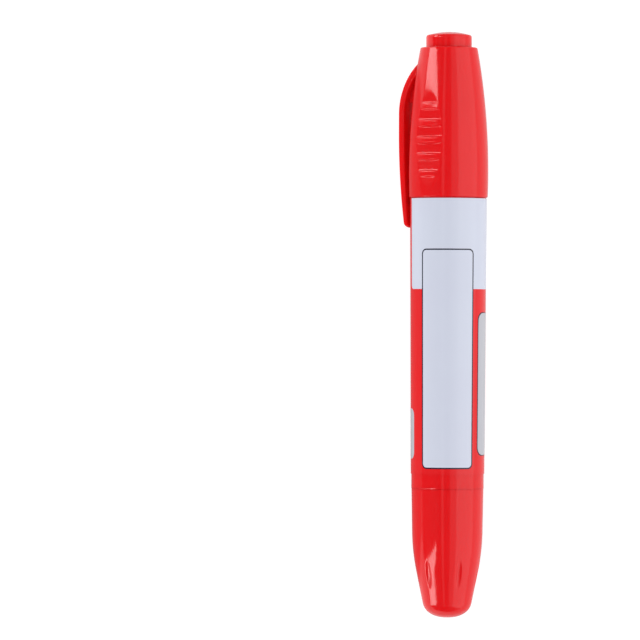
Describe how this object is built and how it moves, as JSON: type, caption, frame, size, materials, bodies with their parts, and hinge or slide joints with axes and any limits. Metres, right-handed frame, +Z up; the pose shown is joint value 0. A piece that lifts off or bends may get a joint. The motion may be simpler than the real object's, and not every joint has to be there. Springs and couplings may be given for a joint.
{
  "type": "whiteboard marker",
  "caption": "Jumbo whiteboard marker with a bullet nib, a pull-off cap with a side clip and ribbed grip scoops, and a plug-in tail cup.",
  "frame": {"origin": "centre of the marker's footprint on the surface that it lies on", "axes": "+X along the marker, towards the cap's plug; +Z up; the clip points to +Y, 33 degrees below the horizontal"},
  "size_m": [0.14, 0.0216, 0.0191],
  "materials": {
    "coloured_shell": "glossy moulded polypropylene, red",
    "label_print": "printed glossy film, white over red",
    "natural_plastic": "uncoloured moulded polypropylene",
    "nib_fibre": "bonded fibre, soaked with ink",
    "ink_fibre": "polyester fibre, soaked with ink",
    "clear_wrap": "clear thin film"
  },
  "bodies": {
    "pen": {"barrel": "coloured_shell", "label_film": "label_print", "nib_holder": "natural_plastic", "nib": "nib_fibre", "reservoir_core": "ink_fibre", "reservoir_wrap": "clear_wrap"},
    "cap": {"cap_shell": "coloured_shell", "cap_top_plug": "coloured_shell", "cap_seal_liner": "natural_plastic"},
    "tail": {"tail_cup": "coloured_shell"}
  },
  "joints": [
    {"name": "cap_pull", "type": "slide", "parent": "pen", "child": "cap", "axis": [1, 0, 0], "range_m": [0, 0.04]},
    {"name": "tail_pull", "type": "slide", "parent": "pen", "child": "tail", "axis": [-1, 0, 0], "range_m": [0, 0.03]}
  ]
}
